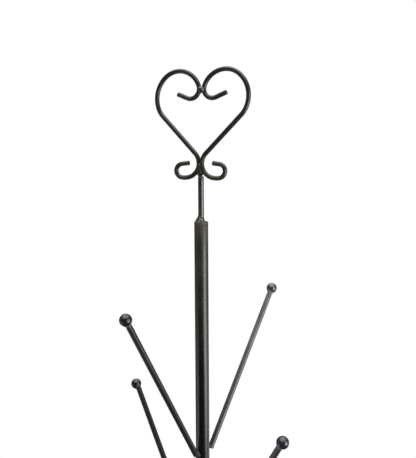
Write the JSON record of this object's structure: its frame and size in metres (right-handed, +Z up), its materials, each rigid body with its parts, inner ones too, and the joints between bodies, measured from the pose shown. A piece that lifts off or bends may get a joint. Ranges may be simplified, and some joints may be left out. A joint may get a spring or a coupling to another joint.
{
  "type": "mug tree",
  "caption": "Wrought-iron mug tree: a round pole on scroll feet, straight ball-tipped arms in crossed tiers, and a bent-wire heart on a thin rod at the top.",
  "frame": {"origin": "on the floor, on the pole's axis, midway between the feet", "axes": "+Z up along the pole; the upper arms run along Y and the lower arms along X; the heart's plane is turned 23 degrees from the XZ plane"},
  "size_m": [0.188, 0.188, 0.4691],
  "materials": {
    "iron": "semi-gloss black paint with a faint brown cast over drawn iron rod",
    "ball": "gloss black paint over steel balls",
    "weld": "painted weld bead, lumpy, satin"
  },
  "bodies": {
    "root": {"pole": "iron", "finial_rod": "iron", "pole_top_weld": "weld", "heart_wire_right": "iron", "heart_wire_left": "iron", "heart_top_weld": "weld", "heart_base_weld": "weld", "arm_upper_front": "iron", "arm_upper_back": "iron", "arm_lower_right": "iron", "arm_lower_left": "iron", "ball_upper_front": "ball", "ball_upper_back": "ball", "ball_lower_right": "ball", "ball_lower_left": "ball", "arm_weld_upper_front": "weld", "arm_weld_upper_back": "weld", "arm_weld_lower_right": "weld", "arm_weld_lower_left": "weld", "ball_weld_upper_front": "weld", "ball_weld_upper_back": "weld", "ball_weld_lower_right": "weld", "ball_weld_lower_left": "weld", "foot_right": "iron", "foot_back": "iron", "foot_left": "iron", "foot_front": "iron", "foot_weld_right": "weld", "foot_weld_back": "weld", "foot_weld_left": "weld", "foot_weld_front": "weld"}
  },
  "joints": []
}
